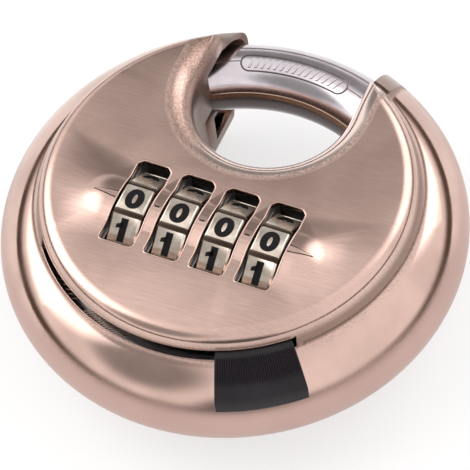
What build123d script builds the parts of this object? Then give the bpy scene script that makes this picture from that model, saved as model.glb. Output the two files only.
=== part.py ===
from build123d import *
import os
from math import asin, cos, degrees, radians, sin

# Combination padlock: a round pressed-steel body with a C-shaped shackle that turns inside its rim.
# Origin: on the disc's axis, at the flat back face. +Z to the dials' side, +Y to the shackle's notch.
# Heights named *_height or in variables called h are measured from the body's mid-plane.

# ---------- body ----------
body_diameter = 70.0
body_thickness = 25.4
sheet = 1.0
rim_gap = 0.84
rim_round_angle = 35.0
rim_width = 6.6
crown_rise = 1.56
step_lean = 0.7
step_drop = 1.8
shoulder_width = 2.2

# ---------- notch under the shackle ----------
notch_radius = 12.0
notch_bottom_y = 4.6
flare_radius = 3.4
mouth_height = 8.0

# ---------- shackle ----------
shackle_bar = 10.0
shackle_tip_angle = 130.0
shackle_tail_angle = -142.0
shackle_swing = 70.0
shackle_end_chamfer = 0.8
running_gap = 0.3

# ---------- slider ----------
knob_start = -70.0
knob_end = -47.5
knob_rim_margin = 0.9
knob_lift = 0.3
knob_thickness = 1.5
knob_tab_reach = 0.8
knob_band_reach = 0.4
knob_low_height = 3.0
slot_lip = 0.05
slot_height = 2.0
slot_end_gap = 1.3
carrier_margin = 4.0
carrier_sheet = 0.8
carrier_gap = 0.7
flat_end_gap = 1.5
tongue_reach = 1.0
tongue_lift = 0.35
tongue_thickness = 0.65
tongue_gap = 0.03
tongue_end_gap = 0.1
flat_depth = 0.8
foot_thickness = 1.0
foot_reach = 2.4
knob_screw_radius = 0.8
knob_screw_head = 1.3
knob_screw_head_height = 0.6
knob_screw_depth = 3.0
knob_screw_offset = 0.4
knob_screw_spread = 3.4

# ---------- dials ----------
dial_count = 4
dial_pitch = 7.095
dial_width = 4.6
dial_apothem = 8.0
dial_sides = 10
dial_proud = 1.0
dial_groove_width = 0.9
dial_groove_depth = 0.5
dial_edge_chamfer = 0.35
window_length = 14.86
window_width = 5.49
window_corner_top = 0.8
window_corner_bottom = 0.4
bulge_length = 37.5
bulge_width = 8.0
bulge_height = 0.9

# ---------- hubs ----------
hub_radius = 4.95
hub_fit = 0.05
hub_bore = 3.3
hub_collar_radius = 4.2
hub_collar_length = 1.2
hub_web = 1.0
gate_width = 1.6
key_width = 0.7
key_height = 0.4
key_gap = 0.1

# ---------- spindle and latch ----------
spindle_radius = 2.0
spindle_fit = 0.08
spindle_stub_radius = 0.95
spindle_stub_length = 1.5
spindle_tip_radius = 1.2
spindle_end_overhang = 0.86
lug_radius = 3.15
lug_width = 1.2
lug_thickness = 0.8
latch_travel = 2.5
latch_stop_gap = 0.3
latch_plate_thickness = 1.4
latch_plate_width = 4.2
latch_plate_rise = 2.3
latch_bar_width = 3.0
latch_bar_height = 3.0
latch_engagement = 2.04
latch_track_gap = 0.25
latch_track_clearance = 0.35
latch_track_end_gap = 3.2
clip_thickness = 0.6
clip_radius = 2.0
clip_gap = 0.05

# ---------- frame ----------
flange_reach = 0.84
flange_thickness = 1.0
upper_flange_reach = 3.04
upper_flange_rise = 1.0
upper_flange_spans = ((-38.0, 96.0), (122.0, 83.0))
lip_gap = 0.1
notch_wall_gap = 0.4
cover_flare_gap = 1.2
cover_gap = 0.6
well_gap = 0.55
well_wall = 2.79
well_floor_gap = 0.7
floor_thickness = 1.0
well_right_gap = 0.26
end_wall = 1.0
partition_gap = 0.1
pocket_end_gap = 0.45
pocket_side_gap = 0.3
post_radius = 2.0
pad_radius = 1.4
pad_places = ((19.5, 8.0), (-19.5, 8.0), (7.0, -19.7), (-7.0, -19.7))
screw_places = ((17.5, 0.5), (-17.5, 0.5), (15.6, -14.0), (-15.6, -14.0))
cover_screw_radius = 1.0
cover_screw_head = 1.7
cover_screw_head_height = 1.1
cover_screw_length = 12.0
cover_screw_slot = 0.6
screw_hole_gap = 0.05
screw_end_gap = 0.3
spacer_margin = 1.8
spacer_gap = 0.06

# ---------- springs ----------
latch_spring_wire = 0.35
latch_spring_radius = 1.6
latch_spring_turns = 5
latch_spring_length = 5.3
latch_spring_bore = 2.3
reset_spring_wire = 0.35
reset_spring_radius = 1.9
reset_spring_turns = 4
detent_thickness = 0.3
detent_floor_gap = 0.41
detent_rise = 0.6
detent_end_gap = 0.2
detent_finger_width = 3.2
detent_strip_height = 3.4
detent_nub_width = 0.6
detent_nub_depth = 0.26
rivet_radius = 0.6
rivet_head = 1.1
rivet_head_height = 0.4
rivet_length = 1.5
rivet_rise = 2.0

# ---------- reset button ----------
reset_radius = 1.9
reset_fit = 0.1
reset_recess = 0.3
reset_flange_radius = 3.0
reset_flange_thickness = 1.0
reset_seat_gap = 0.1
reset_stem_radius = 0.9
reset_stem_entry = 1.3

# ---------- derived: body ----------
mid = body_thickness / 2
body_radius = body_diameter / 2
rim_round = shackle_bar / 2 + rim_gap + sheet
crease_radius = body_radius - rim_width
crease_height = rim_round + crown_rise
step_radius = crease_radius - step_lean
face_radius = step_radius - shoulder_width
notch_centre_y = notch_bottom_y + notch_radius
back_inner_height = -mid + sheet
face_inner_height = mid - sheet

# ---------- derived: shackle and slider ----------
shackle_ring_radius = body_radius - rim_round
shackle_inner = shackle_ring_radius - shackle_bar / 2
frame_radius = shackle_inner - running_gap
knob_outer_radius = body_radius - knob_rim_margin
knob_inner_radius = step_radius - knob_tab_reach
knob_band_radius = crease_radius - knob_band_reach
slot_outer_radius = crease_radius - slot_lip
slot_top_height = crease_height + slot_height
carrier_inner_radius = knob_inner_radius - carrier_gap - carrier_sheet
foot_height = shackle_bar / 2 - flat_depth
foot_top = foot_height + foot_thickness
foot_outer_radius = shackle_ring_radius + foot_reach
tongue_radius = crease_radius + tongue_reach
tongue_height = crease_height + tongue_lift
tongue_top = tongue_height + tongue_thickness
knob_screw_ring_radius = shackle_ring_radius + knob_screw_offset

# ---------- derived: dials, spindle and frame ----------
dial_corner = dial_apothem / cos(radians(180 / dial_sides))
dial_bore = hub_radius + hub_fit
dial_axis_height = mid + dial_proud - dial_apothem
dial_x = [(i - (dial_count - 1) / 2) * dial_pitch for i in range(dial_count)]
bulge_radius = (bulge_width ** 2 / 4 + bulge_height ** 2) / (2 * bulge_height)
bulge_axis_height = mid + bulge_height - bulge_radius
bulge_end = (bulge_length - bulge_width) / 2
spacer_radius = dial_apothem - spacer_margin
well_half = dial_corner + well_gap
well_back_y = notch_bottom_y - sheet - notch_wall_gap - well_wall
dial_row_y = well_back_y - well_half
well_left = dial_x[0] - dial_width / 2 - partition_gap
well_right = dial_x[-1] + dial_width / 2 + well_right_gap
well_floor_height = dial_axis_height - dial_corner - well_floor_gap
flange_top_height = -shackle_bar / 2 - running_gap
flange_bottom_height = flange_top_height - flange_thickness
frame_bottom_height = min(flange_bottom_height, well_floor_height - floor_thickness)
frame_top_height = face_inner_height - cover_gap
flange_radius = shackle_ring_radius + flange_reach
upper_flange_radius = shackle_inner + upper_flange_reach
collar_bore = hub_collar_radius + hub_fit
collar_left = dial_x[0] - dial_width / 2 - hub_collar_length
lug_offset = latch_travel / 2
spindle_left = collar_left - spindle_end_overhang
latch_spring_seat = spindle_left - latch_spring_length
pocket_start = well_right + end_wall
latch_plate_start = pocket_start + latch_travel + latch_stop_gap
latch_plate_end = latch_plate_start + latch_plate_thickness
latch_plate_top = dial_axis_height + latch_plate_rise
latch_tip_radius = shackle_inner + latch_engagement
latch_angle = degrees(asin(dial_row_y / latch_tip_radius))
spindle_right = latch_plate_end + 2 * clip_gap + clip_thickness
pocket_end = spindle_right + pocket_end_gap
detent_nub_y = dial_row_y + dial_corner - detent_nub_depth
rivet_height = well_floor_height + rivet_rise


def lifted(shape):
    """Moves a shape from mid-plane heights to heights above the back face."""
    return Pos(0, 0, mid) * shape


def block(x0, x1, y0, y1, h0, h1):
    """A box between two corners."""
    return Pos((x0 + x1) / 2, (y0 + y1) / 2, (h0 + h1) / 2) * Box(x1 - x0, y1 - y0, h1 - h0)


def half_space(h0, h1):
    """Everything between two heights."""
    return block(-body_diameter, body_diameter, -body_diameter, body_diameter, h0, h1)


def disc(radius, h0, h1, x=0.0, y=0.0):
    """An upright cylinder between two heights."""
    return Pos(x, y, (h0 + h1) / 2) * Cylinder(radius, h1 - h0)


def rod(radius, x0, x1):
    """A cylinder on the dials' axis, between two x positions."""
    return Pos((x0 + x1) / 2, dial_row_y, dial_axis_height) * Rot(0, 90, 0) * Cylinder(radius, x1 - x0)


def rectangle(x0, x1, y0, y1):
    """A flat rectangle between two corners."""
    return Pos((x0 + x1) / 2, (y0 + y1) / 2) * Rectangle(x1 - x0, y1 - y0)


def sector(r0, r1, h0, h1, start, arc):
    """A piece of a ring of rectangular section, from the angle start through arc degrees."""
    return Rot(0, 0, start) * revolve(Plane.XZ * rectangle(r0, r1, h0, h1), Axis.Z, arc)


def body_outline():
    """The body's whole cross-section: raised faces, rounded shoulders, a crease and a domed rim."""
    step_height = mid - step_drop
    a = radians(rim_round_angle)
    tube_end = (shackle_ring_radius + rim_round * cos(a), rim_round * sin(a))
    quarter = [
        Line((0, mid), (face_radius, mid)),
        TangentArc((face_radius, mid), (step_radius, step_height), tangent=(1, 0)),
        Line((step_radius, step_height), (crease_radius, crease_height)),
        TangentArc(tube_end, (crease_radius, crease_height), tangent=(-sin(a), cos(a))),
        CenterArc((shackle_ring_radius, 0), rim_round, 0, rim_round_angle),
    ]
    upper = quarter + [mirror(e, Plane.YZ) for e in quarter]
    return make_face(upper + [mirror(e, Plane.XZ) for e in upper])


def body_section(inset):
    """The right half of the cross-section, moved inwards by inset (outwards if it is negative)."""
    outline = body_outline()
    if inset:
        outline = offset(outline, -inset, kind=Kind.INTERSECTION)
    return outline & (Pos(body_diameter / 2) * Rectangle(body_diameter, 2 * body_diameter))


def body_round(inset):
    """The round body without its notch."""
    return revolve(Plane.XZ * body_section(inset), Axis.Z, 360)


def notch_prism(radius, h0, h1):
    """The notch's U shape: a round bottom with straight sides out past the rim."""
    bottom = disc(radius, h0, h1, 0, notch_centre_y)
    return bottom + block(-radius, radius, notch_centre_y, body_diameter, h0, h1)


def notch(inset):
    """The U-shaped notch with a rounded mouth on both faces."""
    cut = notch_prism(notch_radius + inset, -body_thickness, body_thickness)
    centre = notch_radius + flare_radius
    low = mid - flare_radius
    corner = rectangle(notch_radius - sheet, centre, low, low + 2 * flare_radius)
    corner -= Pos(centre, low) * Circle(flare_radius - inset)
    flare = Pos(0, notch_centre_y) * revolve(Plane.XZ * corner, Axis.Z, 360)
    side = extrude(Plane.XZ * corner, -body_diameter)
    flare += Pos(0, notch_centre_y) * side
    flare += Pos(0, notch_centre_y) * mirror(side, Plane.YZ)
    return cut + flare + mirror(flare, Plane.XY)


def mouths():
    """The openings in the notch's straight sides that the shackle passes through."""
    inner = body_round(sheet) - disc(frame_radius - running_gap, -mid, mid)
    reach = notch_radius + 2 * sheet
    return inner & block(-reach, reach, 0, body_diameter, -mouth_height, mouth_height)


def bulge(inset):
    """The low domed field that the dial windows are cut in: a round-ended rod, mostly sunk."""
    radius = bulge_radius - inset
    dome = Rot(0, 90, 0) * Cylinder(radius, 2 * bulge_end)
    dome += Pos(-bulge_end, 0, 0) * Sphere(radius)
    dome += Pos(bulge_end, 0, 0) * Sphere(radius)
    return (Pos(0, dial_row_y, bulge_axis_height) * dome) & half_space(mid - sheet, body_thickness)


def window():
    """One dial window, with clipped corners."""
    half = window_width / 2
    top = window_length / 2
    outline = Polyline(
        (-half, -top + window_corner_bottom), (-half + window_corner_bottom, -top),
        (half - window_corner_bottom, -top), (half, -top + window_corner_bottom),
        (half, top - window_corner_top), (half - window_corner_top, top),
        (-half + window_corner_top, top), (-half, top - window_corner_top), close=True)
    return extrude(Pos(0, 0, mid - 3 * sheet) * make_face(outline), 6 * sheet)


def finger_slot():
    """The slot at the foot of the raised face that the slider runs in."""
    start = knob_start - shackle_swing - slot_end_gap
    arc = knob_end + slot_end_gap - start
    low = crease_height - 2 * sheet
    return sector(knob_inner_radius - sheet, slot_outer_radius, low, slot_top_height, start, arc)


hollow = (body_round(0) - notch(0)) - (body_round(sheet) - notch(sheet)) - mouths()


def make_front_shell():
    """The pressed front, with its windows, raised field and finger slot."""
    shell = hollow & half_space(0, body_thickness)
    shell = shell + bulge(0) - bulge(sheet)
    for x in dial_x:
        shell -= Pos(x, dial_row_y) * window()
    return shell - finger_slot()


def make_back_shell():
    """The plain pressed back, with the hole for the reset button."""
    shell = hollow & half_space(-body_thickness, 0)
    return shell - disc(reset_radius + reset_fit, -mid, back_inner_height, 0, dial_row_y)


def polar(radius, angle):
    """A point in the plane, from its radius and its angle in degrees."""
    return (radius * cos(radians(angle)), radius * sin(radians(angle)))


def latch_track():
    """The ramp on the shackle's inner side that draws the bolt in as the shackle turns."""
    deep = latch_tip_radius + latch_track_clearance
    slope = (deep - shackle_inner) / shackle_swing
    start = latch_angle - degrees(latch_bar_width / 2 / latch_tip_radius) - latch_track_end_gap
    end = latch_angle + shackle_swing
    middle = (start + end) / 2
    floor = [polar(deep - slope * (a - latch_angle), a) for a in (start, middle, end)]
    mouth = [polar(frame_radius, a) for a in (end, middle, start)]
    outline = make_face([
        ThreePointArc(*floor),
        Line(floor[-1], mouth[0]),
        ThreePointArc(*mouth),
        Line(mouth[-1], floor[0]),
    ])
    return extrude(outline, latch_bar_height / 2 + latch_track_gap, both=True)


def carrier_span(margin):
    """The start angle and arc of the slider's bracket, widened by margin degrees at each end."""
    start = knob_start + carrier_margin - margin
    return start, knob_end - carrier_margin + margin - start


def knob_screw_angles():
    """The two screws' angles on the shackle."""
    middle = (knob_start + knob_end) / 2
    return [middle - knob_screw_spread, middle + knob_screw_spread]


def make_shackle():
    """The C-shaped bar, with the bolt's track and a flat for the slider's bracket."""
    section = Plane.XZ * Pos(shackle_ring_radius) * Circle(shackle_bar / 2)
    turn = shackle_tip_angle - shackle_tail_angle
    bar = Rot(0, 0, shackle_tail_angle) * revolve(section, Axis.Z, turn)
    ends = bar.edges().filter_by(GeomType.CIRCLE).sort_by(SortBy.LENGTH)
    bar = chamfer([e for e in ends if abs(e.radius - shackle_bar / 2) < 0.01], shackle_end_chamfer)
    start, arc = carrier_span(flat_end_gap)
    bar -= sector(shackle_inner, body_radius, foot_height, shackle_bar, start, arc)
    bar -= latch_track()
    bottom = foot_height - knob_screw_depth - screw_end_gap
    for a in knob_screw_angles():
        x, y = polar(knob_screw_ring_radius, a)
        bar -= disc(knob_screw_radius + screw_hole_gap, bottom, foot_height, x, y)
    return bar


def make_knob_carrier():
    """The bent bracket: a foot on the shackle, a leg inside it and a tongue out through the slot."""
    start, arc = carrier_span(0)
    leg_outer = carrier_inner_radius + carrier_sheet
    bracket = sector(carrier_inner_radius, foot_outer_radius, foot_height, foot_top, start, arc)
    bracket += sector(carrier_inner_radius, leg_outer, foot_height, tongue_top, start, arc)
    bracket += sector(carrier_inner_radius, tongue_radius, tongue_height, tongue_top, start, arc)
    for a in knob_screw_angles():
        x, y = polar(knob_screw_ring_radius, a)
        bracket -= disc(knob_screw_radius + screw_hole_gap, foot_height, foot_top, x, y)
    return bracket


def make_knob_screws():
    """The two low-headed screws that hold the bracket's foot."""
    screws = []
    for a in knob_screw_angles():
        x, y = polar(knob_screw_ring_radius, a)
        shank = disc(knob_screw_radius, foot_height - knob_screw_depth, foot_top, x, y)
        screws.append(shank + disc(knob_screw_head, foot_top, foot_top + knob_screw_head_height, x, y))
    return screws


def make_shackle_knob():
    """The plastic slider: a band that follows the rim's dome, with a tab in through the slot."""
    top = slot_top_height - knob_lift
    band = body_section(-knob_lift - knob_thickness) - body_section(-knob_lift)
    band &= rectangle(knob_band_radius, knob_outer_radius, knob_low_height, top)
    band += rectangle(knob_inner_radius, crease_radius + knob_thickness, crease_height + knob_lift, top)
    knob = Rot(0, 0, knob_start) * revolve(Plane.XZ * band, Axis.Z, knob_end - knob_start)
    start, arc = carrier_span(tongue_end_gap)
    low = tongue_height - tongue_gap
    high = tongue_top + tongue_gap
    return knob - sector(carrier_inner_radius, tongue_radius + tongue_gap, low, high, start, arc)


def make_dial():
    """One number wheel at the origin of its axis: ten flat pads, with key slots in its bore."""
    polygon = RegularPolygon(dial_corner, dial_sides)
    wheel = extrude(polygon, dial_width / 2, both=True)
    rims = wheel.faces().filter_by(Axis.Z)
    wheel = chamfer([e for f in rims for e in f.edges()], dial_edge_chamfer)
    bore = Circle(dial_bore)
    key_slot = Rectangle(key_width + 2 * key_gap, 2 * (dial_bore + key_height + key_gap))
    for i in range(dial_sides // 2):
        bore += Rot(0, 0, 360 / dial_sides * i) * key_slot
    wheel -= extrude(bore, dial_width, both=True)
    groove = Pos(dial_corner, 0) * Box(2 * dial_groove_depth, dial_groove_width, 2 * dial_width)
    for i in range(dial_sides):
        wheel -= Rot(0, 0, 360 / dial_sides * i) * groove
    return wheel


def make_hub():
    """One change sleeve at the origin of its axis: a gated web, a key and a bearing collar."""
    half = dial_width / 2
    sleeve = Cylinder(hub_radius, dial_width)
    collar = Pos(0, 0, -half - hub_collar_length / 2) * Cylinder(hub_collar_radius, hub_collar_length)
    key = Pos(0, hub_radius, 0) * Box(key_width, 2 * key_height, dial_width)
    bore = Cylinder(hub_bore, 4 * dial_width)
    web = Cylinder(hub_bore, hub_web) - Cylinder(spindle_radius + spindle_fit, 2 * hub_web)
    web -= Pos(0, hub_bore / 2, 0) * Box(gate_width, hub_bore, 2 * hub_web)
    return (sleeve + collar + key) - bore + web


def on_dial_axis(shape, x):
    """Turns a shape made on the Z axis onto the dials' axis, with its +Y side up."""
    return Pos(x, dial_row_y, dial_axis_height) * Rot(0, 90, 0) * Rot(0, 0, 90) * shape


def make_dial_spacers():
    """The washers between each dial and the next partition."""
    washers = []
    for x in dial_x[:-1]:
        start = x + dial_width / 2 + spacer_gap
        end = x + dial_pitch - dial_width / 2 - hub_collar_length - spacer_gap
        washers.append(rod(spacer_radius, start, end) - rod(collar_bore, start - 1, end + 1))
    return washers


def make_spindle():
    """The shaft through the hubs, with one lug for each, a spring stub and a stepped tip."""
    shaft = rod(spindle_radius, spindle_left, latch_plate_start)
    shaft += rod(spindle_stub_radius, spindle_left - spindle_stub_length, spindle_left)
    shaft += rod(spindle_tip_radius, latch_plate_start, spindle_right)
    for x in dial_x:
        centre = x + lug_offset
        shaft += block(centre - lug_thickness / 2, centre + lug_thickness / 2,
                       dial_row_y - lug_width / 2, dial_row_y + lug_width / 2,
                       dial_axis_height, dial_axis_height + lug_radius)
    return shaft


def make_spindle_clip():
    """The washer-shaped clip that keeps the bolt on the spindle's tip."""
    start = latch_plate_end + clip_gap
    end = start + clip_thickness
    return rod(clip_radius, start, end) - rod(spindle_tip_radius + screw_hole_gap, start - 1, end + 1)


def make_latch_bolt():
    """The bolt: an upright plate on the spindle's tip and a nose shaped to the shackle."""
    half = latch_bar_height / 2
    plate = block(latch_plate_start, latch_plate_end, dial_row_y - latch_plate_width / 2,
                  dial_row_y + latch_plate_width / 2, -half, latch_plate_top)
    plate -= rod(spindle_tip_radius + screw_hole_gap, latch_plate_start - 1, latch_plate_end + 1)
    nose = block(latch_plate_start, body_radius, dial_row_y - latch_bar_width / 2,
                 dial_row_y + latch_bar_width / 2, -half, half)
    return plate + (nose & disc(latch_tip_radius, -half, half))


def frame_cavities():
    """What is cut from both frame halves: dial well, pockets, bores and screw holes."""
    top = frame_top_height
    cut = block(well_left, well_right, dial_row_y - well_half, well_back_y, well_floor_height, top)
    cut += rod(collar_bore, collar_left - spacer_gap, well_left)
    cut += rod(spindle_radius + spindle_fit, latch_spring_seat, latch_plate_start)
    cut += rod(latch_spring_bore, latch_spring_seat, spindle_left + spindle_end_overhang / 2)
    half = latch_plate_width / 2 + pocket_side_gap
    floor_height = -latch_bar_height / 2 - pocket_side_gap
    cut += block(pocket_start, pocket_end, dial_row_y - half, dial_row_y + half,
                 floor_height, latch_plate_top + pocket_side_gap)
    side = latch_bar_width / 2 + screw_hole_gap
    low = latch_bar_height / 2 + screw_hole_gap
    cut += block(pocket_start, body_radius, dial_row_y - side, dial_row_y + side, -low, low)
    cut += disc(reset_stem_radius + reset_fit, frame_bottom_height, well_floor_height, 0, dial_row_y)
    screw_end = top - cover_screw_length - screw_end_gap
    for x, y in screw_places:
        cut += disc(cover_screw_radius + screw_hole_gap, screw_end, top, x, y)
        cut += disc(cover_screw_head + screw_hole_gap, top - cover_screw_head_height, top, x, y)
    return cut


def partitions(h0, h1):
    """The walls between the dials, bored for the hubs' collars."""
    walls = []
    wall_back_y = well_back_y - detent_thickness - partition_gap
    for x in dial_x[1:]:
        end = x - dial_width / 2 - partition_gap
        start = x - dial_width / 2 - hub_collar_length
        wall = block(start, end, dial_row_y - well_half, wall_back_y, h0, h1)
        walls.append(wall - rod(collar_bore, start - 1, end + 1))
    return walls


def make_lock_frame():
    """The lower die-cast half: a round block with the dial well, a guide flange and four posts."""
    body = disc(frame_radius, frame_bottom_height, dial_axis_height)
    body += disc(flange_radius, flange_bottom_height, flange_top_height)
    body -= notch_prism(notch_radius + sheet + notch_wall_gap, -mid, mid)
    body -= frame_cavities()
    for wall in partitions(well_floor_height, dial_axis_height):
        body += wall
    for x, y in screw_places:
        body += disc(post_radius, back_inner_height, frame_bottom_height, x, y)
    for hole in rivet_holes():
        body -= hole
    return body


def make_frame_cover():
    """The upper die-cast half, with the shackle's upper guide flanges and pads under the face."""
    body = disc(frame_radius, dial_axis_height, frame_top_height)
    low = shackle_bar / 2 + running_gap
    high = dial_axis_height + upper_flange_rise
    for start, arc in upper_flange_spans:
        body += sector(frame_radius + lip_gap, upper_flange_radius, low, high, start, arc)
        body += sector(frame_radius - lip_gap, upper_flange_radius, dial_axis_height, high, start, arc)
    body -= notch_prism(notch_radius + sheet + notch_wall_gap, -mid, mid)
    body -= notch_prism(notch_radius + flare_radius, mid - flare_radius - cover_flare_gap, mid)
    body -= frame_cavities()
    for wall in partitions(dial_axis_height, frame_top_height):
        body += wall
    for x, y in pad_places:
        body += disc(pad_radius, frame_top_height, face_inner_height, x, y)
    return body


def make_cover_screws():
    """The four cheese-head screws through the cover."""
    top = frame_top_height - cover_screw_head_height
    bottom = frame_top_height - cover_screw_length
    screws = []
    for x, y in screw_places:
        screw = disc(cover_screw_radius, bottom, top, x, y)
        screw += disc(cover_screw_head, top, frame_top_height, x, y)
        half = cover_screw_slot / 2
        screws.append(screw - block(x - half, x + half, y - cover_screw_head, y + cover_screw_head,
                                    frame_top_height - cover_screw_slot, frame_top_height))
    return screws


def coil(radius, wire, length, turns):
    """A compression spring on the Z axis, from 0 to length."""
    height = length - wire
    path = Helix(height / turns, height, radius)
    section = Plane(path @ 0, z_dir=path % 0) * Circle(wire / 2)
    return Pos(0, 0, wire / 2) * sweep(section, path=path, is_frenet=True)


def make_latch_spring():
    """The spring that pushes the spindle and bolt towards the shackle."""
    length = spindle_left - latch_spring_seat
    spring = coil(latch_spring_radius, latch_spring_wire, length, latch_spring_turns)
    return Pos(latch_spring_seat, dial_row_y, dial_axis_height) * Rot(0, 90, 0) * spring


def make_reset_spring():
    """The spring that returns the reset button."""
    start = back_inner_height + reset_seat_gap + reset_flange_thickness
    spring = coil(reset_spring_radius, reset_spring_wire, frame_bottom_height - start, reset_spring_turns)
    return Pos(0, dial_row_y, start) * spring


def make_reset_button():
    """The code-change button: a head in the back, a flange inside it and a stem into the frame."""
    flange = back_inner_height + reset_seat_gap
    button = disc(reset_radius, -mid + reset_recess, flange, 0, dial_row_y)
    button += disc(reset_flange_radius, flange, flange + reset_flange_thickness, 0, dial_row_y)
    return button + disc(reset_stem_radius, flange, frame_bottom_height + reset_stem_entry, 0, dial_row_y)


def make_detent_spring():
    """The leaf comb behind the dials, with one finger and one nub for each."""
    y0 = well_back_y - detent_thickness
    low = well_floor_height + detent_floor_gap
    comb = block(well_left + detent_end_gap, well_right - detent_end_gap, y0, well_back_y,
                 low, low + detent_strip_height)
    half = detent_finger_width / 2
    nub = detent_nub_width / 2
    for x in dial_x:
        comb += block(x - half, x + half, y0, well_back_y, low, dial_axis_height + detent_rise)
        comb += block(x - half, x + half, detent_nub_y, y0, dial_axis_height - nub, dial_axis_height + nub)
        comb -= Pos(x, y0 + detent_thickness / 2, rivet_height) * Rot(90, 0, 0) * Cylinder(
            rivet_radius, detent_thickness)
    return comb


def make_detent_rivets():
    """The rivets that hold the leaf comb to the frame."""
    y0 = well_back_y - detent_thickness
    length = rivet_length + detent_thickness
    turned = Rot(90, 0, 0)
    rivet = Pos(0, y0 + length / 2, 0) * turned * Cylinder(rivet_radius, length)
    rivet += Pos(0, y0 - rivet_head_height / 2, 0) * turned * Cylinder(rivet_head, rivet_head_height)
    return [Pos(x, 0, rivet_height) * rivet for x in dial_x]


def rivet_holes():
    """The holes for the rivets in the frame's wall."""
    turned = Rot(90, 0, 0) * Cylinder(rivet_radius, rivet_length)
    return [Pos(x, well_back_y + rivet_length / 2, rivet_height) * turned for x in dial_x]


def save(name, shapes):
    """Writes one node, lifted to its place above the back face."""
    if not isinstance(shapes, list):
        shapes = [shapes]
    solids = [lifted(s) for shape in shapes for s in shape.solids()]
    node = solids[0] if len(solids) == 1 else Compound(children=solids)
    export_step(node, f"parts/{name}.step")


os.makedirs("parts", exist_ok=True)
save("front_shell", make_front_shell())
save("back_shell", make_back_shell())
save("shackle", make_shackle())
save("shackle_knob", make_shackle_knob())
save("knob_carrier", make_knob_carrier())
save("knob_screws", make_knob_screws())
save("lock_frame", make_lock_frame())
save("frame_cover", make_frame_cover())
save("cover_screws", make_cover_screws())
dial = make_dial()
hub = make_hub()
for number, x in enumerate(dial_x, start=1):
    save(f"dial_{number}", on_dial_axis(dial, x))
    save(f"hub_{number}", on_dial_axis(hub, x))
save("dial_spacers", make_dial_spacers())
save("spindle", make_spindle())
save("spindle_clip", make_spindle_clip())
save("latch_bolt", make_latch_bolt())
save("latch_spring", make_latch_spring())
save("detent_spring", make_detent_spring())
save("detent_rivets", make_detent_rivets())
save("reset_button", make_reset_button())
save("reset_spring", make_reset_spring())
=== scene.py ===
"""Looks of a round combination padlock: pressed body, ring shackle, slider, four wheels."""

import logging
import math
from dataclasses import dataclass
from enum import Enum
from typing import Any, Callable, Sequence

import bmesh
import bpy
from mathutils import Matrix, Vector


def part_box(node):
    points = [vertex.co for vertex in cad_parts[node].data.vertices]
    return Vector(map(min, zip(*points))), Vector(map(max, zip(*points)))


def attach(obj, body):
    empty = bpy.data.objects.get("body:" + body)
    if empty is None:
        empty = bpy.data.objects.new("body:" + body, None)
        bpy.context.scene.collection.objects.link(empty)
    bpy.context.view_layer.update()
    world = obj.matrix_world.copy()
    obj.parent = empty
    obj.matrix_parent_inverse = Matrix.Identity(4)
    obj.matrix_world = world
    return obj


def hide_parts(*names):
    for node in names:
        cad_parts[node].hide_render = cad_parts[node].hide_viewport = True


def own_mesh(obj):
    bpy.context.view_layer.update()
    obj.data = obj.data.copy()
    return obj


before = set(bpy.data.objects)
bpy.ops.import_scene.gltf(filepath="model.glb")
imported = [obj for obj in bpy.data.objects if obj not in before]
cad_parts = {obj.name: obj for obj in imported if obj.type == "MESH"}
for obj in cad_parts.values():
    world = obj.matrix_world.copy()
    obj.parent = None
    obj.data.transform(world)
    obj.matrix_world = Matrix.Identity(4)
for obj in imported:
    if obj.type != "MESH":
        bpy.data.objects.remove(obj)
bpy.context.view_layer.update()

MM = 0.001
SMOOTH_ANGLE = math.radians(28)
WELD = 1e-6
BEAD_SIDES = 8
WHEEL_SIDES = 10
IN_MM = (1000, 1000, 1000)
log = logging.getLogger("padlock")

Colour = tuple[float, float, float]
Value = Any


# ---------------------------------------------------------------- shader maths


class Wire:
    """One shader value. Its operators add the Math nodes of an expression."""

    def __init__(self, graph: "Graph", socket: bpy.types.NodeSocket) -> None:
        """Keeps the tree and the output socket that carries the value."""
        self.graph = graph
        self.socket = socket

    def __add__(self, other: Value) -> "Wire":
        """Sum."""
        return self.graph.math("ADD", self, other)

    __radd__ = __add__

    def __sub__(self, other: Value) -> "Wire":
        """Difference."""
        return self.graph.math("SUBTRACT", self, other)

    def __rsub__(self, other: Value) -> "Wire":
        """Difference, with the value second."""
        return self.graph.math("SUBTRACT", other, self)

    def __mul__(self, other: Value) -> "Wire":
        """Product."""
        return self.graph.math("MULTIPLY", self, other)

    __rmul__ = __mul__

    def __truediv__(self, other: Value) -> "Wire":
        """Quotient."""
        return self.graph.math("DIVIDE", self, other)

    def __pow__(self, other: Value) -> "Wire":
        """Power."""
        return self.graph.math("POWER", self, other)

    def size(self) -> "Wire":
        """Absolute value."""
        return self.graph.math("ABSOLUTE", self)

    def ramp(self, low: float, high: float) -> "Wire":
        """A smooth step.

        Args:
            low: The value that gives 0.
            high: The value that gives 1, which may be the lower of the two.

        Returns:
            The step's value, from 0 to 1.
        """
        return self.graph.node(
            "ShaderNodeMapRange",
            {"interpolation_type": "SMOOTHSTEP", "clamp": True},
            {"Value": self, "From Min": low, "From Max": high},
        )


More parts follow.
